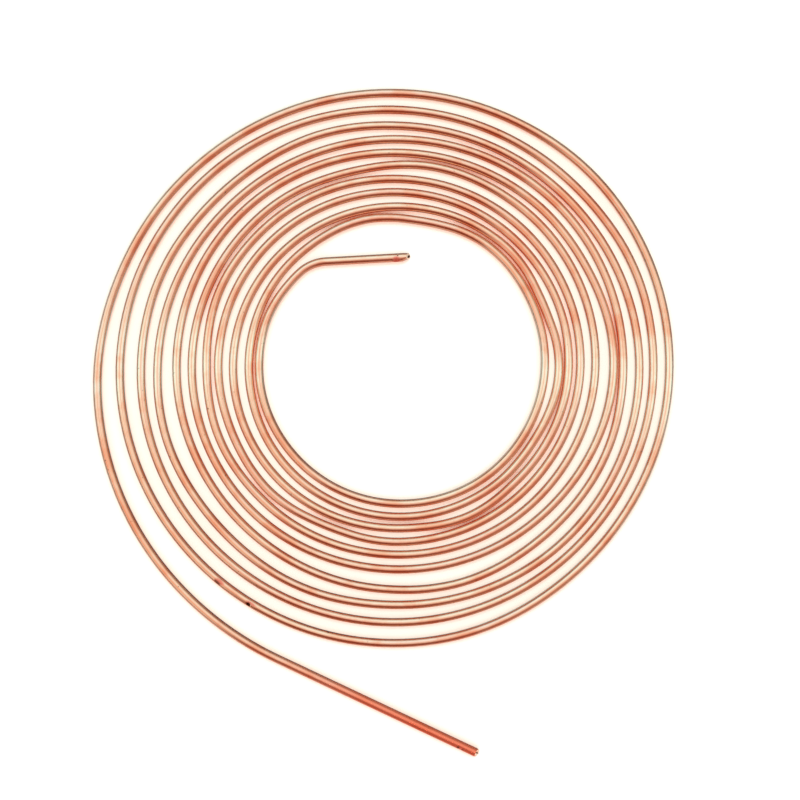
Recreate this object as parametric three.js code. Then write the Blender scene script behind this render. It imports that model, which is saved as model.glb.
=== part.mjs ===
// Coil of soft copper tube, as it lies on the floor once its ties are off.
//
// One length of thin tube is wound into a flat, loose spiral, a single layer high. The innermost turn
// ends in a short straight lead that was bent across the eye of the coil, and the outermost turn springs
// away into a straight tail. Both ends are cut square and the bore is open from end to end.
//
// Millimetres, +Z up. The tube rests on z = 0, and the origin is below the middle of the whole coil.

import * as THREE from 'three';

// ---- Driving dimensions ----------------------------------------------------------------------------

// The tube: 3/16 inch outside diameter, with a 22 gauge wall.
const tubeDiameter = 4.76;
const wallThickness = 0.71;

// The coil is measured on eight rays from its axis, 45 degrees apart. The first ray points up and to the
// left, where the innermost turn begins, and the turns wind outwards anticlockwise from it.
const raysPerTurn = 8;
const firstRayDegrees = 135;

// The eye of the coil: from the axis to the inner side of the innermost turn, on each of the eight rays.
const eyeRadii = [71.0, 71.4, 70.8, 72.8, 77.4, 81.7, 83.2, 80.5];

// How loosely it is wound: the clear gap from each turn to the next one out, on the same eight rays.
// The last row has only the rays that the tube still reaches before its tail begins.
const turnGaps = [
  [2.7, 1.0, 2.4, 2.5, 1.9, 3.0, 1.2, 1.2],
  [2.5, 3.9, 3.2, 1.7, 1.3, 0.7, 1.5, 3.2],
  [3.9, 3.4, 3.4, 2.7, 2.2, 1.7, 2.3, 2.6],
  [2.9, 1.7, 1.4, 2.3, 3.3, 3.5, 3.8, 3.0],
  [1.8, 3.4, 3.7, 3.4, 3.8, 5.2, 2.3, 1.9],
  [3.7, 3.7, 3.9, 6.3, 4.4, 0.7, 2.8, 2.7],
  [2.4, 5.6, 5.8, 3.8, 4.7, 4.1, 1.5, 2.7],
  [3.6, 4.5, 5.3, 4.9, 2.6, 3.0, 3.1, 4.1],
  [7.0, 6.9, 6.5, 6.7, 4.5, 4.1, 6.3, 4.4],
  [3.6, 7.5, 12.8],
];

// Kinks, where the soft tube was bent as it was handled. Each is halfway between two rays or close to it:
// its place along the tube, counted in rays, and how far it pushes the middle of the tube outwards there.
// A push below zero is inwards. It fades out over the reach, to each side.
const kinks = [
  { ray: 0.5, push: 0.6 },
  { ray: 5.6, push: -0.5 },
  { ray: 6.7, push: -1.2 },
  { ray: 7.3, push: 0.7 },
  { ray: 12.4, push: -0.8 },
  { ray: 13.5, push: -2.0 },
  { ray: 19.6, push: 1.4 },
  { ray: 25.5, push: -0.6 },
  { ray: 26.5, push: -1.5 },
  { ray: 32.5, push: 0.9 },
  { ray: 33.5, push: 0.9 },
  { ray: 38.7, push: 0.7 },
  { ray: 39.3, push: -1.1 },
  { ray: 45.6, push: -0.9 },
  { ray: 51.4, push: 1.0 },
  { ray: 52.5, push: 0.7 },
  { ray: 57.4, push: 0.9 },
  { ray: 58.5, push: 0.9 },
  { ray: 63.4, push: 1.0 },
  { ray: 64.5, push: 0.7 },
  { ray: 69.5, push: 1.0 },
  { ray: 75.4, push: 0.5 },
  { ray: 78.4, push: -0.5 },
  { ray: 80.6, push: -0.7 },
];
const kinkReach = 0.5;

// The inner lead: a tight bend out of the innermost turn, then straight across the eye.
const leadBendRadius = 23;
const leadBendDegrees = 41.5;
const leadStraight = 47;

// The outer tail: the bend of the last turn eases off, then the tube runs straight to its end.
const tailBendRadius = 178;
const tailBendDegrees = 22.5;
const tailStraight = 123;

// Facets: flat sides around the outside and the bore, and steps along each stretch of the tube.
// Every turn has the same steps, so the facets of neighbouring turns lie parallel.
const outsideSides = 8;
const boreSides = 6;
const stepsPerRay = 5;
const leadBendSteps = 5;
const tailBendSteps = 3;

// ---- Centre line, seen from above -------------------------------------------------------------------

const radians = THREE.MathUtils.degToRad;
const quarterTurn = radians(90);

// Distance from the coil's axis to the middle of the tube, ray after ray along its whole length. Each
// turn lies outside the one before it by a tube's diameter and the gap between them.
function centreLineRadii() {
  const radii = eyeRadii.map((eyeRadius) => eyeRadius + tubeDiameter / 2);
  for (const gap of turnGaps.flat()) {
    radii.push(radii[radii.length - raysPerTurn] + tubeDiameter + gap);
  }
  return radii;
}

// How far the kinks push the tube outwards at a place along the rays.
function kinkPush(ray) {
  return kinks.reduce((total, kink) => {
    const away = Math.min(Math.abs(ray - kink.ray) / kinkReach, 1);
    return total + (kink.push * (1 + Math.cos(Math.PI * away))) / 2;
  }, 0);
}

// The turns: a smooth line through the rays, drawn as radius against angle, then kinked and wound up.
class Turns extends THREE.Curve {
  constructor(radii) {
    super();
    this.unwound = new THREE.SplineCurve(radii.map((radius, ray) => new THREE.Vector2(ray, radius)));
  }

  getPoint(t, target = new THREE.Vector2()) {
    const { x: ray, y: middleRadius } = this.unwound.getPoint(t);
    const angle = radians(firstRayDegrees + (ray * 360) / raysPerTurn);
    const radius = middleRadius + kinkPush(ray);
    return target.set(radius * Math.cos(angle), radius * Math.sin(angle));
  }
}

function pointAhead(point, heading, distance) {
  return new THREE.Vector2(Math.cos(heading), Math.sin(heading)).multiplyScalar(distance).add(point);
}

// A left-hand bend that passes through a point with the given heading, between two headings.
function leftBend(point, heading, radius, startHeading, endHeading) {
  const centre = pointAhead(point, heading + quarterTurn, radius);
  const startAngle = startHeading - quarterTurn;
  const endAngle = endHeading - quarterTurn;
  return new THREE.EllipseCurve(centre.x, centre.y, radius, radius, startAngle, endAngle);
}

// The centre line from the end of the lead to the end of the tail, as stretches that meet end to end with
// the same heading, each with its number of steps.
function centreLineStretches() {
  const radii = centreLineRadii();
  const turns = new Turns(radii);

  const firstHeading = turns.getTangent(0).angle();
  const leadHeading = firstHeading - radians(leadBendDegrees);
  const leadBend = leftBend(turns.getPoint(0), firstHeading, leadBendRadius, leadHeading, firstHeading);
  const leadCorner = leadBend.getPoint(0);
  const leadEnd = pointAhead(leadCorner, leadHeading, -leadStraight);

  const lastHeading = turns.getTangent(1).angle();
  const tailHeading = lastHeading + radians(tailBendDegrees);
  const tailBend = leftBend(turns.getPoint(1), lastHeading, tailBendRadius, lastHeading, tailHeading);
  const tailCorner = tailBend.getPoint(1);
  const tailEnd = pointAhead(tailCorner, tailHeading, tailStraight);

  return [
    { curve: new THREE.LineCurve(leadEnd, leadCorner), steps: 1 },
    { curve: leadBend, steps: leadBendSteps },
    { curve: turns, steps: (radii.length - 1) * stepsPerRay },
    { curve: tailBend, steps: tailBendSteps },
    { curve: new THREE.LineCurve(tailCorner, tailEnd), steps: 1 },
  ];
}

// The whole centre line in space, lying at half the tube's height. It is divided by steps and not by
// length, so that the tube's facets break where the stretches say.
class TubePath extends THREE.Curve {
  constructor(stretches) {
    super();
    this.stretches = stretches;
    this.steps = stretches.reduce((total, stretch) => total + stretch.steps, 0);
  }

  getPoint(t, target = new THREE.Vector3()) {
    let step = t * this.steps;
    let index = 0;
    while (step > this.stretches[index].steps && index < this.stretches.length - 1) {
      step -= this.stretches[index].steps;
      index += 1;
    }
    const { curve, steps } = this.stretches[index];
    const { x, y } = curve.getPoint(step / steps);
    return target.set(x, y, tubeDiameter / 2);
  }

  getUtoTmapping(u) {
    return u;
  }
}

// ---- Copper tube ------------------------------------------------------------------------------------

// Corners of a regular polygon around a circle, with its flat sides touching the circle. One flat side
// faces straight down.
function flatSidedCircle(diameter, sides) {
  const cornerRadius = diameter / 2 / Math.cos(Math.PI / sides);
  return Array.from({ length: sides }, (_, corner) => {
    const angle = ((corner + 0.5) * 2 * Math.PI) / sides;
    return new THREE.Vector2(cornerRadius * Math.cos(angle), cornerRadius * Math.sin(angle));
  });
}

function copperTube() {
  const section = new THREE.Shape(flatSidedCircle(tubeDiameter, outsideSides));
  const boreDiameter = tubeDiameter - 2 * wallThickness;
  section.holes.push(new THREE.Path(flatSidedCircle(boreDiameter, boreSides)));

  const path = new TubePath(centreLineStretches());
  const geometry = new THREE.ExtrudeGeometry(section, { steps: path.steps, extrudePath: path });

  geometry.computeBoundingBox();
  const middle = geometry.boundingBox.getCenter(new THREE.Vector3());
  geometry.translate(-middle.x, -middle.y, 0);

  const material = new THREE.MeshStandardMaterial({ color: 0xd8865e, roughness: 0.25, metalness: 1 });
  const mesh = new THREE.Mesh(geometry, material);
  mesh.name = 'copper_tube';
  return mesh;
}

const coil = new THREE.Group();
coil.add(copperTube());

export default coil;
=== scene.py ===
# %% [markdown]
# # A loose coil of soft copper tube
#
# The real thing is one length of thin copper tube, wound by hand into a flat spiral that lies a single
# layer high. Nothing holds it together. Its inner end crosses the eye of the coil, and its outer end
# springs away in a long straight tail.
#
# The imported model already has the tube's route and its sizes, but as a tube with eight flat sides and forty
# straight facets a turn. This lesson reads the route back out of that model, draws a smooth round tube
# along it, works the two cut ends and the knocks the tube has taken, and gives it the finish of drawn
# copper.

import math
from bisect import bisect_right
from types import SimpleNamespace

import bmesh
import bpy
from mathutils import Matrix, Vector


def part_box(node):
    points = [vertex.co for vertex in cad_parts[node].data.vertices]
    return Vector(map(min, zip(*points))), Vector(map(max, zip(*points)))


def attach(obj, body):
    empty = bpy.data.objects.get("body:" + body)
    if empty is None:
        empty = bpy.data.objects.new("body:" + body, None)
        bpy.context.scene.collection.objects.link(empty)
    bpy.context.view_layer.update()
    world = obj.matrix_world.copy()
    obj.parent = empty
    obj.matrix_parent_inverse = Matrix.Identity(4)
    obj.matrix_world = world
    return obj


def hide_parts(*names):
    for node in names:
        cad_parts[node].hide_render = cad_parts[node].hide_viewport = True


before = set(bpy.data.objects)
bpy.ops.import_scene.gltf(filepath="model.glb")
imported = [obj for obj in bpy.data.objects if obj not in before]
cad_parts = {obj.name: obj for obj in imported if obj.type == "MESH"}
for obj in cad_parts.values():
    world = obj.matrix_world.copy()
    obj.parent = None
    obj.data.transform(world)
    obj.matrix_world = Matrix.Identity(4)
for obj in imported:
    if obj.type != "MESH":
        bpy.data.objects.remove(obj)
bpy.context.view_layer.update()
faceted_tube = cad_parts["copper_tube"]
print("packed model:", len(faceted_tube.data.polygons), "triangles")

# %% [markdown]
# ## The tube's own sizes
#
# The tube lies flat, so the height of the model's box is the outside diameter of the tube. The wall can't
# be read off a box, so it is stated: 0.71 mm is the usual wall of a 3/16 inch tube.

# %% Diameter and wall
MM = 0.001
lowest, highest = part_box("copper_tube")
tube_radius = (highest.z - lowest.z) / 2
wall = 0.71 * MM
bore_radius = tube_radius - wall
print(f"tube {2 * tube_radius / MM:.2f} mm outside, {2 * bore_radius / MM:.2f} mm bore")

# %% [markdown]
# ## Reading the route off the underside
#
# The faceted tube rests on a long strip of flat faces. The border of that strip runs down one side of the
# tube, across an end, back up the other side and across the other end. So its corners come in pairs, one on
# each side, and the middle of each pair is a point below the centre line. Typing the route in again would
# also work, but then a change to the model would not reach the finished tube.
#
# The loaded mesh is made of loose triangles, so a copy of it is merged before it is walked.

# %% Walk around the strip
same_place = 0.001 * MM


def border_of_underside(faceted):
    mesh = bmesh.new()
    mesh.from_mesh(faceted.data)
    bmesh.ops.remove_doubles(mesh, verts=mesh.verts, dist=same_place)
    floor_level = lowest.z + same_place
    underside = {face for face in mesh.faces if all(corner.co.z < floor_level for corner in face.verts)}
    border = {edge for edge in mesh.edges if len(underside.intersection(edge.link_faces)) == 1}
    edge = next(iter(border))
    first = corner = edge.verts[0]
    corners = []
    while corner != first or not corners:
        corners.append(corner.co.copy())
        corner = edge.other_vert(corner)
        edge = next(e for e in corner.link_edges if e in border and e != edge)
    mesh.free()
    return corners


border = border_of_underside(faceted_tube)
print("the strip has", len(border), "corners")

# %% [markdown]
# The shortest edge of the border lies across an end of the tube. A walk that starts just past it goes out
# along one side of the strip and comes back along the other, so its second half is turned round before the
# two are paired. The end nearer to the middle of the coil is the inner one.

# %% Pair the corners into a centre line
def centre_line(corners):
    count = len(corners)
    lengths = [(corners[i] - corners[(i + 1) % count]).length for i in range(count)]
    across_end = min(range(count), key=lengths.__getitem__)
    walk = corners[across_end + 1:] + corners[:across_end + 1]
    one_side = walk[: count // 2]
    other_side = reversed(walk[count // 2:])
    middle = [(a + b) / 2 + Vector((0, 0, tube_radius)) for a, b in zip(one_side, other_side)]
    if middle[0].length > middle[-1].length:
        middle.reverse()
    return middle


stations = centre_line(border)
print(len(stations), "stations, inner end at", [round(c / MM, 1) for c in stations[0]], "mm")

# %% [markdown]
# ## A smooth route through the stations
#
# Each span between two stations becomes a cubic curve that starts and ends along the tube's heading there.
# On a bend the heading lies between the two chords that meet, nearer to the shorter one. The first and last
# spans are the straight lead and tail, so they give the heading at both of their ends.
#
# A Blender curve object could be bent through the same stations, but its handles would need the same sums,
# and the finish below needs to know how far along the tube each corner is.

# %% Headings and spans
chords = [b - a for a, b in zip(stations, stations[1:])]
headings = [chords[0]]
for before, after in zip(chords, chords[1:]):
    headings.append(before.normalized() * after.length + after.normalized() * before.length)
headings.append(chords[-1])
headings[1] = chords[0]
headings[-2] = chords[-1]
headings = [heading.normalized() for heading in headings]

span_starts = [0.0]
for chord in chords:
    span_starts.append(span_starts[-1] + chord.length)
route_length = span_starts[-1]
print(f"the route is {route_length:.3f} m long, measured along its chords")

# %% [markdown]
# At any distance from the inner end, the route gives the middle of the tube and the direction outwards from
# the coil, square to the tube's heading. Up is the same everywhere, because the coil lies flat.

# %% Place on the route
def place_at(distance):
    span = min(max(bisect_right(span_starts, distance) - 1, 0), len(chords) - 1)
    length = chords[span].length
    t = (distance - span_starts[span]) / length
    start, end = stations[span], stations[span + 1]
    pull, push = headings[span] * length, headings[span + 1] * length
    middle = (
        start * (2 * t ** 3 - 3 * t ** 2 + 1)
        + end * (3 * t ** 2 - 2 * t ** 3)
        + pull * (t ** 3 - 2 * t ** 2 + t)
        + push * (t ** 3 - t ** 2)
    )
    heading = (
        (end - start) * (6 * t - 6 * t ** 2)
        + pull * (3 * t ** 2 - 4 * t + 1)
        + push * (3 * t ** 2 - 2 * t)
    ).normalized()
    outward = Vector((heading.y, -heading.x, 0))
    return middle, outward


print("halfway along:", [round(c / MM, 1) for c in place_at(route_length / 2)[0]], "mm")

# %% [markdown]
# ## Knocks and marks
#
# Soft copper shows how it was handled. A clamp has gripped the tube near each end and left a ruddy, dull
# patch with nicks in it. The second turn from the outside has a dark pit at the lower left, on its outer
# side, and a scuff a little before it. The metal beside them is rubbed ruddy.
#
# They could be carved into the finished mesh by hand. As a list, each can be moved or softened in one line.
# A mark has its distance along the tube in metres, and where it sits around the section in degrees, with 0
# outwards and 90 up. Then come its reach along the tube in millimetres, its spread around it in degrees,
# and its depth in millimetres, which is below zero for a raised burr. Last is how dark and how ruddy it
# leaves the metal, from 0 to 1.

# %% The list of marks
def new_mark(name, distance, around, reach, spread, depth, dark=0.0, ruddy=0.0):
    return SimpleNamespace(
        name=name, distance=distance, around=around, reach=reach * MM, spread=spread, depth=depth * MM,
        dark=dark, ruddy=ruddy,
    )


tail_end = route_length
marks = [
    new_mark("pit", 6.4850, 62, 1.7, 34, 0.30, dark=1.0),
    new_mark("rub beside the pit", 6.4860, 95, 4.0, 30, 0.05, ruddy=0.8),
    new_mark("scuff", 6.4644, 55, 2.6, 34, 0.15, dark=0.45),
    new_mark("rub beside the scuff", 6.4650, 90, 4.0, 45, 0.05, ruddy=0.8),
    new_mark("clamp on the lead", 0.0079, 130, 3.0, 75, -0.06, ruddy=1.0),
    new_mark("nick in the lead", 0.0070, 66, 0.5, 14, 0.12, dark=0.9),
    new_mark("clamp on the tail", tail_end - 0.0105, 40, 2.3, 50, 0.15, ruddy=0.5),
    new_mark("nick in the tail", tail_end - 0.0119, 50, 1.4, 38, 0.25, dark=0.55),
    new_mark("second nick in the tail", tail_end - 0.0091, 50, 1.0, 30, 0.25, dark=0.45),
]
print(len(marks), "marks:", ", ".join(mark.name for mark in marks))

# %% [markdown]
# A mark is at its full strength in the middle and fades smoothly to nothing at its edge. Where two overlap,
# their depths add up, but the metal is only as dark or as ruddy as the stronger one makes it.

# %% What the marks do at a place
fade_steepness = 1.6


def smooth(t):
    t = min(max(t, 0.0), 1.0)
    return t * t * (3 - 2 * t)


def mark_weight(mark, distance, around):
    along = (distance - mark.distance) / mark.reach
    turn = (around - math.radians(mark.around) + math.pi) % (2 * math.pi) - math.pi
    across = turn / math.radians(mark.spread)
    return smooth(fade_steepness * (1 - math.hypot(along, across)))


def marks_at(distance, around):
    """How deep the wall is pressed in at a place on it, and how dark and how ruddy it is there."""
    dent = dark = ruddy = 0.0
    for mark in marks:
        if abs(distance - mark.distance) < mark.reach:
            weight = mark_weight(mark, distance, around)
            dent += mark.depth * weight
            dark = max(dark, mark.dark * weight)
            ruddy = max(ruddy, mark.ruddy * weight)
    return dent, dark, ruddy


pit = marks[0]
print(f"the pit is {marks_at(pit.distance, math.radians(pit.around))[0] / MM:.2f} mm deep")

# %% [markdown]
# ## The two ends
#
# A worn cutter leaves soft tube like this. At the inner end the rim is drawn in over the last 5 mm, the
# side towards the middle of the coil is squashed, and the cut runs a little askew. At the outer end the
# wall is rolled in until the bore is nearly shut. The top of both cuts is set back, so the bore shows from
# above.
#
# A bevel on the rim and a slanted plane through it would give a clean end, not a worn one. So each end is a
# few numbers that the rings near it follow. The lip is how far from the cut the tube is worked. The
# narrowing and the closing are the shares of the radius that the outside and the bore have lost at the cut,
# and crushed is the share that the side towards the middle has lost. The slope sets back the top of the
# cut, and the slant that same side, each by twice its number of radii.

# %% The lead's end and the tail's end
ends = {
    "lead": SimpleNamespace(
        distance=0.0, lip=5.0 * MM, narrowing=0.10, closing=0.40, crushed=0.50, slope=0.42, slant=0.16,
    ),
    "tail": SimpleNamespace(
        distance=route_length, lip=2.0 * MM, narrowing=0.12, closing=0.85, crushed=0.0, slope=0.42,
        slant=0.0,
    ),
}
lip_curve = 1.5


def worked_by_ends(radius, distance, around):
    """The radius an end leaves, how far it sets the wall back, and how much it squashes the inner side."""
    for end in ends.values():
        away = abs(distance - end.distance) / end.lip
        if away < 1:
            near = (1 - away) ** lip_curve
            lost = end.closing if radius < tube_radius else end.narrowing
            back = end.slope * (1 + math.sin(around)) + end.slant * (1 - math.cos(around))
            back *= radius * (1 - away)
            into_tube = 1 if end.distance == 0 else -1
            return radius * (1 - near * lost), into_tube * back, end.crushed * near
    return radius, 0.0, 0.0


for name, end in ends.items():
    bore_at_cut = worked_by_ends(bore_radius, end.distance, 0.0)[0]
    print(f"{name} end: the bore is {2 * bore_at_cut / MM:.2f} mm across at the cut")

# %% [markdown]
# ## Where the rings go
#
# The tube is drawn as a row of rings. Four to each facet of the model keep the bends smooth. The straight
# lead and tail need few, but the cut ends and the marks need them close together. Even spacing would be
# simpler, but fine enough for a nick it would take 25,000 rings.

# %% Ring distances
rings_per_facet = 4
straight_spacing = 6 * MM
fine_spacing = 0.3 * MM
closest = 0.1 * MM
fine_at_ends = 5 * MM
fine_past_mark = 1.3
step_allowance = 0.01


def evenly(start, end, spacing):
    count = max(1, math.ceil((end - start) / spacing - step_allowance))
    return [start + (end - start) * step / count for step in range(count + 1)]


def ring_distances():
    distances = evenly(0, span_starts[1], straight_spacing)
    distances += evenly(span_starts[-2], route_length, straight_spacing)
    for start, end in zip(span_starts[1:], span_starts[2:-1]):
        distances += evenly(start, end, (end - start) / rings_per_facet)
    for mark in marks:
        reach = fine_past_mark * mark.reach
        distances += evenly(mark.distance - reach, mark.distance + reach, fine_spacing)
    distances += evenly(0, fine_at_ends, fine_spacing)
    distances += evenly(route_length - fine_at_ends, route_length, fine_spacing)
    chosen = []
    for distance in sorted(distances):
        if not chosen or distance - chosen[-1] > closest:
            chosen.append(distance)
    chosen[-1] = route_length
    return chosen


rings = ring_distances()
print(len(rings), "rings")

# %% [markdown]
# ## Rolling the sheet into a tube
#
# The wall is made from a flat sheet of squares, one column to each ring, that is rolled up along the route
# and welded down its seam, the way some tube is really made. One sheet makes the outside, and a second one
# with fewer squares makes the bore. A round curve with a bevel would make the outside with less work, but
# it gives no bore, and no way to press a mark into one side.
#
# Every corner keeps its place in the tube's own terms, for the finish to use later: how far along it is,
# and how far outwards and upwards from the middle, counted in tube radii. It also keeps how marked it is.

# %% Shape of a corner
def shaped_corner(radius, distance, around):
    """Where a corner of a wall goes, its place in the tube's own terms, and how dark and ruddy it is."""
    dent, dark, ruddy = marks_at(distance, around)
    radius, set_back, squeeze = worked_by_ends(radius, distance, around)
    out, up = (radius - dent) * math.cos(around), (radius - dent) * math.sin(around)
    if out < 0:
        out *= 1 - squeeze
    middle, outward = place_at(min(max(distance + set_back, 0.0), route_length))
    corner = middle + outward * out + Vector((0, 0, up))
    return corner, Vector((distance, out / tube_radius, up / tube_radius)), Vector((dark, ruddy, 0.0))


top_of_cut = shaped_corner(tube_radius, 0.0, math.pi / 2)[0]
print("the top of the lead's cut is at", [round(c / MM, 1) for c in top_of_cut], "mm")

# %% [markdown]
# The sheet also gets a flat map for the finish. The whole tube is nearly eight metres long and only fifteen
# millimetres around, so one straight strip would be far too thin. On the map it is cut into strips that lie
# one above another, those of the bore above those of the outside, with room between them.

# %% Flat map
strips = 24
strip_gap = 0.15
side_margin = 0.02


def strip_at(distance):
    return min(int(distance / route_length * strips), strips - 1)


def place_on_map(first_strip, strip, distance, share_around):
    u = distance / route_length * strips - strip
    v = first_strip + strip + strip_gap + share_around * (1 - 2 * strip_gap)
    return side_margin + (1 - 2 * side_margin) * u, v / (2 * strips)


print(f"each strip holds {route_length / strips:.2f} m of tube")

# %% Roll the sheets
outside_sides = 28
bore_sides = 14
half_sheet = 0.5
OUTSIDE, CUT, BORE = 0, 1, 2


def column_and_row(corner, columns, rows):
    return round((corner.co.x + half_sheet) * columns), round((corner.co.y + half_sheet) * rows)


def roll_sheet(mesh, radius, sides, finish, first_strip):
    place_layer, mark_layer, flat_map = layers
    columns = len(rings) - 1
    before = set(mesh.verts)
    bmesh.ops.create_grid(mesh, x_segments=columns, y_segments=sides, size=half_sheet)
    grid = [corner for corner in mesh.verts if corner not in before]
    address = {corner: column_and_row(corner, columns, sides) for corner in grid}
    for face in {face for corner in grid for face in corner.link_faces}:
        face.material_index = finish
        face.smooth = True
        strip = strip_at(sum(rings[address[corner][0]] for corner in face.verts) / len(face.verts))
        for loop in face.loops:
            column, row = address[loop.vert]
            loop[flat_map].uv = place_on_map(first_strip, strip, rings[column], row / sides)
    for corner, (column, row) in address.items():
        around = 2 * math.pi * row / sides
        corner.co, corner[place_layer], corner[mark_layer] = shaped_corner(radius, rings[column], around)


tube = bmesh.new()
layers = (
    tube.verts.layers.float_vector.new("own_place"),
    tube.verts.layers.float_vector.new("marked"),
    tube.loops.layers.uv.new("UVMap"),
)
roll_sheet(tube, tube_radius, outside_sides, OUTSIDE, 0)
roll_sheet(tube, bore_radius, bore_sides, BORE, strips)
bmesh.ops.remove_doubles(tube, verts=tube.verts, dist=same_place)
print(len(tube.verts), "corners after welding the seams")

# %% [markdown]
# ## Closing the cut ends
#
# Two open rims are left at each end, one of the outside and one of the bore. The cut face between them
# could be filled and then pierced, but bridging the rims makes it in one step, with the hole already there.

# %% Cut faces
def cut_face(mesh, end, place_layer):
    open_edges = [edge for edge in mesh.edges if edge.is_boundary]
    rims = [edge for edge in open_edges if abs(edge.verts[0][place_layer].x - end.distance) < same_place]
    return bmesh.ops.bridge_loops(mesh, edges=rims)["faces"]


for end in ends.values():
    for face in cut_face(tube, end, layers[0]):
        face.material_index = CUT
bmesh.ops.recalc_face_normals(tube, faces=tube.faces)
print(len(tube.faces), "faces, open edges:", sum(edge.is_boundary for edge in tube.edges))

# %% [markdown]
# The mesh is finished, so it becomes the one piece of the scene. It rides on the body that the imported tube
# belongs to and stands for it.

# %% The finished piece
tube_data = bpy.data.meshes.new("soft copper tube")
tube.to_mesh(tube_data)
tube.free()
coil = bpy.data.objects.new("soft_copper_tube", tube_data)
bpy.context.scene.collection.objects.link(coil)
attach(coil, "root")
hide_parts("copper_tube")
print(coil.name, "measures", [round(side / MM, 1) for side in coil.dimensions], "mm")

# %% [markdown]
# ## Building finishes
#
# A finish is a small tree of shader nodes. It could be wired by hand in the Shader Editor, but then it
# could not be built again from this file. These helpers add one node, set it up and wire its inputs in one
# line, so that each finish below reads from its pattern to its surface. Colours are written as red, green
# and blue.

# %% One node at a time
def node(tree, kind, inputs=None, **settings):
    made = tree.nodes.new("ShaderNode" + kind)
    for name, value in settings.items():
        setattr(made, name, value)
    for name, value in (inputs or {}).items():
        socket = made.inputs[name]
        if isinstance(value, bpy.types.NodeSocket):
            tree.links.new(value, socket)
        elif socket.type == "RGBA":
            socket.default_value = (*value, 1.0)
        else:
            socket.default_value = value
    return made


def blend(tree, amount, first, second):
    """Colour that goes from the first to the second as the amount goes from 0 to 1."""
    return node(tree, "Mix", {0: amount, 6: first, 7: second}, data_type="RGBA").outputs[2]


def between(tree, amount, first, second):
    """Number that goes from the first to the second as the amount goes from 0 to 1."""
    return node(tree, "Mix", {0: amount, 2: first, 3: second}, data_type="FLOAT").outputs[0]


def times(tree, first, second):
    return node(tree, "Math", {0: first, 1: second}, operation="MULTIPLY").outputs[0]


def rescale(tree, value, low, high, to_low=0.0, to_high=1.0):
    """Number that eases from one limit to the other as the value goes from low to high."""
    inputs = {"Value": value, "From Min": low, "From Max": high, "To Min": to_low, "To Max": to_high}
    return node(tree, "MapRange", inputs, interpolation_type="SMOOTHSTEP").outputs["Result"]


def tint(tree, colour, other, pattern, start, full, strength=1.0):
    """The colour, turning into the other one where the pattern rises from its start to its fullest."""
    return blend(tree, rescale(tree, pattern, start, full, 0.0, strength), colour, other)


# %% Starting and ending a finish
def new_finish(name):
    finish = bpy.data.materials.new(name)
    finish.use_nodes = True
    finish.node_tree.nodes.clear()
    return finish, finish.node_tree


def surface(finish, inputs):
    tree = finish.node_tree
    skin = node(tree, "BsdfPrincipled", inputs)
    node(tree, "OutputMaterial", {"Surface": skin.outputs[0]})
    print(finish.name, "has", len(tree.nodes), "nodes")


# %% [markdown]
# ## What drawing and handling leave on copper
#
# The die leaves fine straight lines along the tube. A noise stretched a hundred times further along the
# tube than around it gives them, and it has no seam because it is laid out on each corner's own place. A
# picture wrapped round the tube would do as well, but it would have to cover nearly eight metres.
#
# Fingers and air then tint the metal in soft blotches, in a finer mottle, and in small specks. They are
# noises too, laid out in space and not along the tube, because they have no grain.
#
# More than one of the finishes below uses these patterns. So each is a node group with one input, how fine
# the pattern is, and it gives out plain numbers that a finish can turn into colour, sheen or bumps.

# %% Making a group
def new_group(name):
    group = bpy.data.node_groups.new(name, "ShaderNodeTree")
    fineness = group.interface.new_socket("Fineness", in_out="INPUT", socket_type="NodeSocketFloat")
    fineness.default_value = 1.0
    return group


def made_finer(group, place):
    """The place a pattern in a group is drawn at, scaled by the group's fineness."""
    fineness = group.nodes.new("NodeGroupInput").outputs["Fineness"]
    return node(group, "VectorMath", {0: place, "Scale": fineness}, operation="SCALE").outputs["Vector"]


def noise(group, place, scale, detail, roughness):
    inputs = {"Vector": place, "Scale": scale, "Detail": detail, "Roughness": roughness}
    return node(group, "TexNoise", inputs).outputs[0]


def give_out(group, values):
    for name in values:
        group.interface.new_socket(name, in_out="OUTPUT", socket_type="NodeSocketFloat")
    way_out = group.nodes.new("NodeGroupOutput")
    for name, value in values.items():
        group.links.new(value, way_out.inputs[name])
    print(group.name, "gives out", ", ".join(values))


# %% Drawing lines
# How often each pattern changes: per metre along the tube, then per tube radius outwards and upwards.
line_rate = (30.0, 9.0, 9.0)
streak_rate = (9.0, 2.2, 2.2)

lines_group = new_group("drawing lines")
own = made_finer(lines_group, node(lines_group, "Attribute", attribute_name="own_place").outputs["Vector"])
fine = node(lines_group, "Mapping", {"Vector": own, "Scale": line_rate}).outputs["Vector"]
broad = node(lines_group, "Mapping", {"Vector": own, "Scale": streak_rate}).outputs["Vector"]
give_out(lines_group, {
    "Lines": noise(lines_group, fine, 1.0, detail=3.0, roughness=0.6),
    "Streaks": noise(lines_group, broad, 1.0, detail=2.0, roughness=0.55),
})

# %% Handling
blotches_per_metre = 45.0
mottle_per_metre = 170.0
specks_per_metre = 420.0

handling_group = new_group("handling")
spot = made_finer(handling_group, node(handling_group, "TexCoord").outputs["Object"])
give_out(handling_group, {
    "Blotches": noise(handling_group, spot, blotches_per_metre, detail=4.0, roughness=0.55),
    "Mottle": noise(handling_group, spot, mottle_per_metre, detail=2.0, roughness=0.5),
    "Specks": noise(handling_group, spot, specks_per_metre, detail=2.0, roughness=0.5),
})
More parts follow.
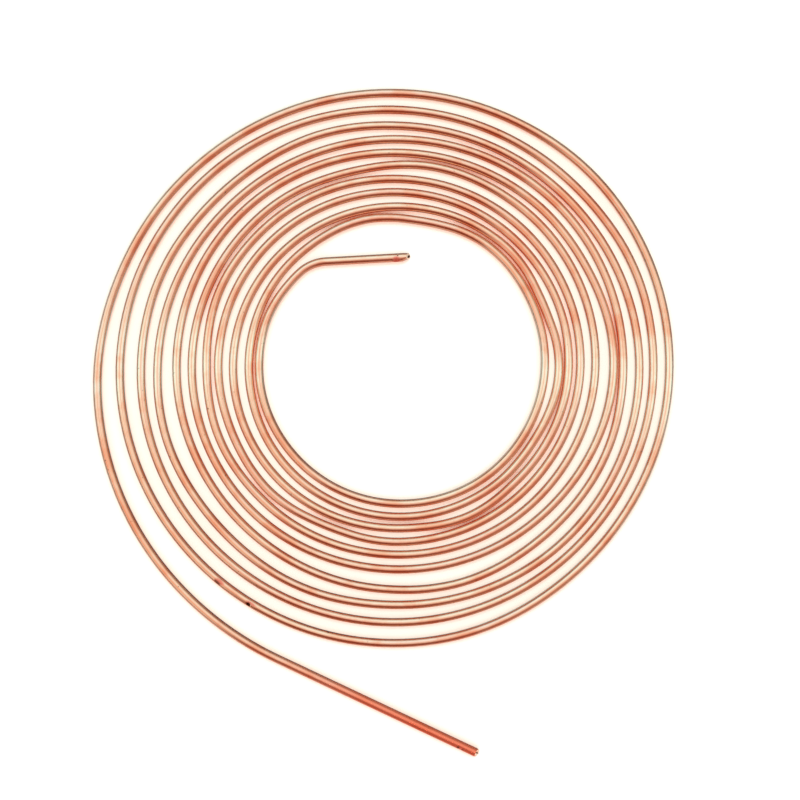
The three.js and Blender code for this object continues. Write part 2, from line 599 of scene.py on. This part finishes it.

# %% [markdown]
# ## Drawn copper
#
# Fresh drawn copper is a pale pinkish orange mirror. Tints go over it one after another: a paler mottle,
# pink streaks along the tube and ruddy blotches. The last 190 mm of the tail is painted redder and darker
# than the rest, a painted reflection of the dim, warm near side of the room, and it is also made duller.
# Brown specks and the marks come last, ruddy where the metal is rubbed and brown where it is dug into. One
# flat colour would be simpler, but then every turn would look the same.

# %% Colour of the outside
clean_copper = (0.96, 0.55, 0.37)
pale_copper = (0.965, 0.59, 0.41)
pink_copper = (0.93, 0.42, 0.34)
ruddy_copper = (0.92, 0.30, 0.15)
# Painted reflection: the tail's redder, darker copper stands in for the dim, warm near side of the room that
# it mirrors.
tail_painted_reflection = (0.77, 0.155, 0.078)
rubbed_copper = (0.93, 0.23, 0.16)
brown_spot = (0.10, 0.03, 0.015)
tail_tint_length = 0.19
tail_tint_fade = 0.18

drawn, tree = new_finish("drawn copper")
pattern = node(tree, "Group", {"Fineness": 1.0}, node_tree=lines_group).outputs
touched = node(tree, "Group", {"Fineness": 1.0}, node_tree=handling_group).outputs
own = node(tree, "Attribute", attribute_name="own_place").outputs["Vector"]
along = node(tree, "SeparateXYZ", {0: own}).outputs["X"]
tail_tint_from = route_length - tail_tint_length
tail_tint = rescale(tree, along, tail_tint_from, tail_tint_from + tail_tint_fade)
marked = node(tree, "Attribute", attribute_name="marked").outputs["Vector"]
marked = node(tree, "SeparateXYZ", {0: marked}).outputs
dark, ruddy = marked["X"], marked["Y"]

colour = tint(tree, clean_copper, pale_copper, touched["Mottle"], start=0.42, full=0.58)
colour = tint(tree, colour, pink_copper, pattern["Streaks"], start=0.48, full=0.62, strength=0.4)
colour = tint(tree, colour, ruddy_copper, touched["Blotches"], start=0.46, full=0.66, strength=0.6)
# The last stretch of the tail is painted redder and darker here, as a painted reflection.
colour = tint(tree, colour, tail_painted_reflection, tail_tint, start=0.0, full=1.0, strength=0.9)
colour = tint(tree, colour, brown_spot, touched["Specks"], start=0.70, full=0.78, strength=0.6)
colour = blend(tree, ruddy, colour, rubbed_copper)
colour = tint(tree, colour, brown_spot, dark, start=0.0, full=0.7)
print(f"the tail reddens from {tail_tint_from:.2f} m along the tube")

# %% [markdown]
# The drawing lines smear what the tube mirrors, but only across themselves. That is the anisotropy of the
# surface, turned a quarter so that highlights spread around the tube and not along it. The lines also vary
# the roughness and raise very faint bumps. More roughness instead would smear the mirror in every
# direction, as on cast copper.

# %% Sheen of the outside
smoothest, roughest = 0.11, 0.20
tail_roughness = 0.26
rubbed_roughness = 0.5
tail_metallic = 0.85
line_height = 0.05 * MM
line_strength = 0.08
smear = 0.6
quarter_turn = 0.25

sheen = rescale(tree, pattern["Lines"], 0.3, 0.7, smoothest, roughest)
sheen = between(tree, tail_tint, sheen, tail_roughness)
bumps = {"Height": pattern["Lines"], "Strength": line_strength, "Distance": line_height}
surface(drawn, {
    "Base Color": colour,
    "Metallic": rescale(tree, tail_tint, 0.0, 1.0, 1.0, tail_metallic),
    "Roughness": between(tree, ruddy, sheen, rubbed_roughness),
    "Anisotropic": smear,
    "Anisotropic Rotation": quarter_turn,
    "Normal": node(tree, "Bump", bumps).outputs[0],
    "Tangent": node(tree, "Tangent", direction_type="UV_MAP", uv_map="UVMap").outputs[0],
})

# %% [markdown]
# ## Cut faces and bore
#
# The cutter leaves the metal between the rims pale, matt and torn, so the cut faces have the same patterns
# as the outside, but finer and with deeper bumps. The bore is out of reach of hands and polish. It is dull,
# dark and blotched, and only its mouths show. The outside's copper could go all the way round, but then the
# ends would look moulded and not cut.

# %% Cut faces of pale, torn copper
cut_pale, cut_pink = (0.98, 0.78, 0.62), (0.95, 0.62, 0.44)
torn_height = 0.1 * MM
torn_strength = 0.3

cut_copper, tree = new_finish("cut copper")
pattern = node(tree, "Group", {"Fineness": 2.0}, node_tree=lines_group).outputs
touched = node(tree, "Group", {"Fineness": 1.6}, node_tree=handling_group).outputs
bumps = {"Height": pattern["Streaks"], "Strength": torn_strength, "Distance": torn_height}
surface(cut_copper, {
    "Base Color": tint(tree, cut_pale, cut_pink, touched["Specks"], start=0.4, full=0.7),
    "Metallic": 0.7,
    "Roughness": 0.6,
    "Normal": node(tree, "Bump", bumps).outputs[0],
})

# %% Bore of dull copper
bore_brown, bore_dark = (0.30, 0.11, 0.06), (0.16, 0.06, 0.035)

bore_copper, tree = new_finish("bore copper")
touched = node(tree, "Group", {"Fineness": 1.0}, node_tree=handling_group).outputs
surface(bore_copper, {
    "Base Color": tint(tree, bore_brown, bore_dark, touched["Blotches"], start=0.3, full=0.7),
    "Metallic": 1.0,
    "Roughness": 0.55,
})

for finish in (drawn, cut_copper, bore_copper):
    tube_data.materials.append(finish)
print(coil.name, "wears", ", ".join(finish.name for finish in tube_data.materials))

# %% [markdown]
# ## The floor
#
# The coil lies on a plain white floor, which is only there to show it. It could be a plane from the editor's
# own menu. A grid of one square is the same thing, made the way the tube was.

# %% Floor sheet
floor_reach = 3.0
floor_data = bpy.data.meshes.new("floor")
floor_mesh = bmesh.new()
bmesh.ops.create_grid(floor_mesh, x_segments=1, y_segments=1, size=floor_reach)
floor_mesh.to_mesh(floor_data)
floor_mesh.free()
floor = bpy.data.objects.new("floor", floor_data)
bpy.context.scene.collection.objects.link(floor)
print(f"the floor reaches {floor_reach:.0f} m to each side")

# %% [markdown]
# A white floor has a soft coppery glow beside bright copper, and a dark orange one in the narrow gaps,
# where the light goes to and fro between the turns and takes up their colour each time. Enough bounces of
# light would give both in the end, but with much noise. So the floor has a painted glow of its own, which
# follows how open it is: painted coppery light beside the turns, and painted shade where it dims near them
# and in the narrow gaps.
#
# Ambient occlusion tells that: it is 1 in the open and falls towards 0 where turns are near. It is taken
# twice, close by for the foot of a turn and the narrow gaps, and wider for the gaps as a whole.

# %% How open the floor is
close_by = 3 * MM
wider = 12 * MM

white, tree = new_finish("white floor")
path = node(tree, "LightPath").outputs
open_close_by = node(tree, "AmbientOcclusion", {"Distance": close_by}, samples=8).outputs["AO"]
open_wider = node(tree, "AmbientOcclusion", {"Distance": wider}, samples=6).outputs["AO"]
wide_gap = rescale(tree, open_close_by, 0.18, 0.46)
print(f"openness is taken over {close_by / MM:.0f} mm and over {wider / MM:.0f} mm")

# %% What the camera sees of it
# Each glow is painted light: bright in the open, dimming to coppery painted shade near the turns and to dark
# orange in the narrow gaps.
open_glow = (1.15, 1.10, 1.08)
border_glow = (0.80, 0.66, 0.54)
gap_glow = (0.98, 0.79, 0.66)
foot_glow = (1.03, 0.68, 0.52)
narrow_glow = (0.46, 0.08, 0.02)
floor_paint = (0.24, 0.24, 0.24)
# In the narrow gaps the floor's own colour is a painted dark orange shade.
painted_gap_shade = (0.24, 0.08, 0.04)

seen_glow = tint(tree, gap_glow, border_glow, open_wider, start=0.25, full=0.75)
seen_glow = tint(tree, seen_glow, open_glow, open_wider, start=0.72, full=0.94)
seen_glow = tint(tree, foot_glow, seen_glow, open_close_by, start=0.36, full=0.68)
seen_glow = blend(tree, wide_gap, narrow_glow, seen_glow)
seen_paint_and_gap_shade = blend(tree, wide_gap, painted_gap_shade, floor_paint)
print(f"{len(tree.nodes)} nodes so far")

# %% [markdown]
# The metal is a mirror, and a floor that was white in every reflection would leave the foot of each turn
# pale. So over open ground the floor lets through the rays that come straight from the metal, and they show
# the dimmer lower half of the room instead. In the narrow gaps the floor stays solid, with its dark orange
# glow. To rays that come from further off it is mostly solid and bright, as a white floor is at a distance.

# %% What the metal sees of it
from_near, from_far = 6 * MM, 16 * MM
cleared_far_off = 0.3
narrow_reflection = (0.45, 0.08, 0.02)
far_reflection = (1.3, 1.1, 0.98)
black = (0.0, 0.0, 0.0)

unscattered = node(tree, "Math", {0: path["Diffuse Depth"], 1: 0.5}, operation="LESS_THAN").outputs[0]
from_metal = times(tree, path["Is Glossy Ray"], unscattered)
open_ground = rescale(tree, open_close_by, 0.20, 0.50)
far_off = rescale(tree, path["Ray Length"], from_near, from_far)
glow_in_metal = blend(tree, open_ground, narrow_reflection, black)
glow_in_metal = blend(tree, times(tree, from_metal, far_off), glow_in_metal, far_reflection)
cleared = times(tree, from_metal, open_ground)
cleared = times(tree, cleared, rescale(tree, far_off, 0.0, 1.0, 1.0, cleared_far_off))
print(f"from {from_far / MM:.0f} mm away, open floor is {1 - cleared_far_off:.0%} solid to a reflected ray")

# %% White floor
lit_paint = (0.92, 0.92, 0.92)
glow_strength = 0.72

# To the camera the floor carries the painted shade of the narrow gaps.
paint = blend(tree, path["Is Camera Ray"], lit_paint, seen_paint_and_gap_shade)
surface(white, {
    "Base Color": blend(tree, from_metal, paint, black),
    "Roughness": 0.8,
    "Emission Color": blend(tree, path["Is Camera Ray"], glow_in_metal, seen_glow),
    "Emission Strength": glow_strength,
    "Alpha": node(tree, "Math", {0: 1.0, 1: cleared}, operation="SUBTRACT").outputs[0],
})
floor_data.materials.append(white)

# %% [markdown]
# ## The room
#
# Polished metal shows little but its surroundings, so the room matters more than the lamps. Walls and
# windows could be built around the coil, but the metal only needs their light, and a world gives that
# without any geometry. Each patch of light is told apart by its direction alone: by how far a direction
# goes along an axis of the room, or by its angle from the middle of the patch.

# %% Directions in the room
room = bpy.data.worlds.new("bright room")
room.use_nodes = True
sky = room.node_tree
sky.nodes.clear()
direction = node(sky, "TexCoord").outputs["Generated"]
direction = node(sky, "VectorMath", {0: direction}, operation="NORMALIZE").outputs[0]
up = (0, 0, 1)


def beyond(axis, low, high):
    """Goes from 0 to 1 as a direction's reach along an axis of the room goes from low to high."""
    reach = node(sky, "VectorMath", {0: direction, 1: axis}, operation="DOT_PRODUCT").outputs["Value"]
    return rescale(sky, reach, low, high)


def facing(azimuth, from_zenith, inner, outer):
    """1 up to the inner angle from the middle of a patch, fading to 0 at the outer one, all in degrees."""
    azimuth, from_zenith = math.radians(azimuth), math.radians(from_zenith)
    flat = math.sin(from_zenith)
    middle = (flat * math.cos(azimuth), flat * math.sin(azimuth), math.cos(from_zenith))
    return beyond(middle, math.cos(math.radians(outer)), math.cos(math.radians(inner)))


# %% [markdown]
# Above, the room is bright all over. Two patches high on the left are brighter still, like windows, and
# four others are dimmer, like walls. The bright ones lean towards blue and go over 1, because copper gives
# back little blue: under a light that is white on paper the tube would be plain orange, and its highlights
# are really a pale pink.
#
# A strip of light runs along the ceiling from left to right. The turns that lie along it show it as a thin
# highlight on top, and the turns that cross it are bright from side to side. The near side of the room is
# dark and warm, which gives the turns a deep red lower edge.

# %% Above the horizon
# Where the middle of each patch is, round from the right and down from the zenith, then where it starts to
# fade and where it ends, all in degrees, and its colour.
patches = (
    (116, 28, 8, 44, (1.06, 1.62, 1.78)),
    (168, 38, 8, 34, (1.10, 1.60, 1.66)),
    (202, 32, 8, 30, (0.98, 0.72, 0.56)),
    (40, 70, 8, 32, (0.62, 0.58, 0.48)),
    (128, 72, 4, 24, (0.52, 0.64, 0.60)),
    (312, 50, 14, 42, (0.68, 0.41, 0.32)),
)
far, far_right, near_right = (0, 1, 0), (1, 0.7, 0), (1, -0.85, 0)
strip_side = (0.06, 1, 0)
ceiling_strip = (1.12, 1.78, 1.90)
near_side = (0.30, 0.085, 0.05)
overhead = (0.98, 1.05, 1.00)

colour = (1.00, 1.00, 0.92)
for azimuth, from_zenith, inner, outer, patch in patches:
    colour = blend(sky, facing(azimuth, from_zenith, inner, outer), colour, patch)
in_strip = times(sky, beyond(strip_side, 0.18, 0.03), beyond(strip_side, -0.18, -0.03))
in_strip = times(sky, in_strip, beyond(up, -0.25, 0.35))
colour = blend(sky, in_strip, colour, ceiling_strip)
at_near_side = times(sky, beyond(near_right, -0.06, 0.20), beyond(far_right, 0.30, -0.62))
at_near_side = times(sky, at_near_side, beyond(far, -0.03, -0.40))
colour = blend(sky, at_near_side, colour, near_side)
colour = blend(sky, facing(0, 0, inner=2, outer=20), colour, overhead)
print(len(patches), "patches of light")

# %% [markdown]
# Near the horizon the room is dark, and this draws the thin dark line along each side of a turn. Below it
# is what the foot of a turn mirrors through the open floor: cool light on most sides, almost none on the
# far right, and a warm light on the near side. Last, the whole room is shaded, from a little pink overhead
# to blue lower down.

# %% At the horizon and below
horizon, horizon_near, horizon_far_right = (0.06, 0.16, 0.17), (0.36, 0.16, 0.12), (0.0, 0.06, 0.08)
below, below_far_right, below_near = (0.62, 0.84, 0.88), (0.12, 0.065, 0.07), (0.90, 0.44, 0.34)
blue_shade, pink_shade = (0.76, 0.93, 1.0), (0.97, 0.89, 0.89)

horizon = blend(sky, facing(268, 90, inner=25, outer=60), horizon, horizon_near)
horizon = blend(sky, facing(55, 90, inner=20, outer=50), horizon, horizon_far_right)
colour = blend(sky, beyond(up, 0.40, 0.16), colour, horizon)
below = blend(sky, facing(55, 100, inner=36, outer=70), below, below_far_right)
below = blend(sky, facing(265, 100, inner=36, outer=80), below, below_near)
colour = blend(sky, beyond(up, 0.02, -0.10), colour, below)
shade = blend(sky, beyond(up, 0.2, 0.9), blue_shade, pink_shade)
shading = {0: 1.0, 6: colour, 7: shade}
colour = node(sky, "Mix", shading, data_type="RGBA", blend_type="MULTIPLY").outputs[2]
print(len(sky.nodes), "nodes so far")

# %% [markdown]
# All of that is only for the mirror. Matt surfaces get one even light from the room, and the camera sees
# plain white past the edge of the floor. The room is sampled by the rays that happen to meet it. To look
# for its bright parts, as Blender does by default, takes longer and gains nothing in a room that is bright
# all over.

# %% Bright room
even_light = (0.80, 0.80, 0.76)
plain_white = (1.0, 1.0, 1.0)

path = node(sky, "LightPath").outputs
colour = blend(sky, path["Is Diffuse Ray"], colour, even_light)
colour = blend(sky, path["Is Camera Ray"], colour, plain_white)
air = node(sky, "Background", {"Color": colour, "Strength": 1.0})
node(sky, "OutputWorld", {"Surface": air.outputs[0]})
room.cycles.sampling_method = "NONE"
bpy.context.scene.world = room
print(room.name, "has", len(sky.nodes), "nodes")

# %% [markdown]
# ## Two soft lamps
#
# A warm lamp on the near side and a cool one on the far side light the floor and what is matt. Small bulbs
# would do, but their shadows are hard, and those of a broad disc are soft. Mirrored in the copper, the
# discs would be two hard spots on every turn, so reflections leave them out.

# %% Lamps
lamp_size = 0.6


def soft_lamp(name, place, colour, energy):
    data = bpy.data.lights.new(name, "AREA")
    data.shape = "DISK"
    data.size = lamp_size
    data.color = colour
    data.energy = energy
    lamp = bpy.data.objects.new(name, data)
    lamp.location = place
    lamp.rotation_euler = (-lamp.location).to_track_quat("-Z", "Y").to_euler()
    lamp.visible_glossy = False
    bpy.context.scene.collection.objects.link(lamp)
    print(f"{name}: {lamp.location.length:.2f} m away, {energy:.0f} W")


soft_lamp("warm_lamp", (0.2, -0.6, 1.4), (1.0, 0.42, 0.32), 24.0)
soft_lamp("cool_lamp", (-0.1, 0.6, 1.4), (0.60, 0.90, 0.86), 26.0)

# %% [markdown]
# ## The camera
#
# A camera that isn't turned looks straight down, which shows a flat coil as it lies. A tilt would show the
# tube's height, but narrow the gaps between its turns. The camera stands a little off the middle of the
# box, towards the middle of the turns. The Standard view shows colours as they were mixed here. The default
# one would grey the bright copper.

# %% Camera
camera_height = 700 * MM
off_middle = (9.10 * MM, 12.84 * MM)
sensor_width = 36
lens = 57

camera_data = bpy.data.cameras.new("camera")
camera_data.sensor_width = sensor_width
camera_data.lens = lens
camera = bpy.data.objects.new("camera", camera_data)
camera.location = (*off_middle, camera_height + tube_radius)
bpy.context.scene.collection.objects.link(camera)
bpy.context.scene.camera = camera
bpy.context.scene.view_settings.view_transform = "Standard"
print(f"the frame is {camera_height * sensor_width / lens / MM:.0f} mm wide at the tube")
